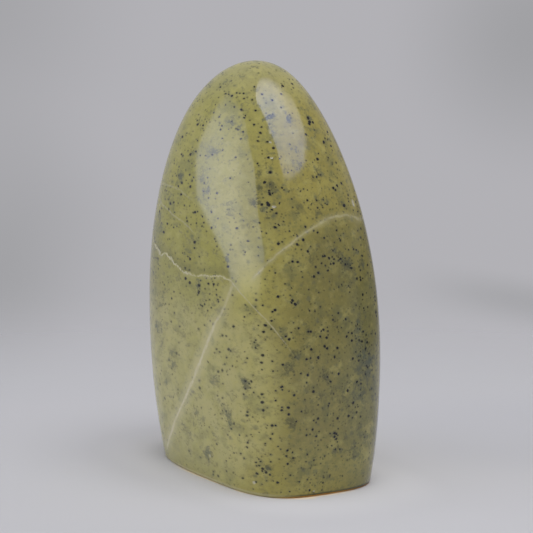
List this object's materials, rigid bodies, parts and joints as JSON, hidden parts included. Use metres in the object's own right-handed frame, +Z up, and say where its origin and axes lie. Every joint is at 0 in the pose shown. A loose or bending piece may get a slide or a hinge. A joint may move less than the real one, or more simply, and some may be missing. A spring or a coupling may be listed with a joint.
{
  "type": "serpentine rock",
  "caption": "Polished freeform of olive-green serpentine with a domed top and a flat sawn base, standing upright as a decorative stone.",
  "frame": {"origin": "middle of the footprint box, on the flat base", "axes": "+Z up to the crown, -Y out of the broad front face, +X to the end whose belly hangs lower"},
  "size_m": [0.0774, 0.045, 0.11],
  "materials": {
    "serpentine": "polished"
  },
  "bodies": {
    "root": {"stone": "serpentine"}
  },
  "joints": []
}
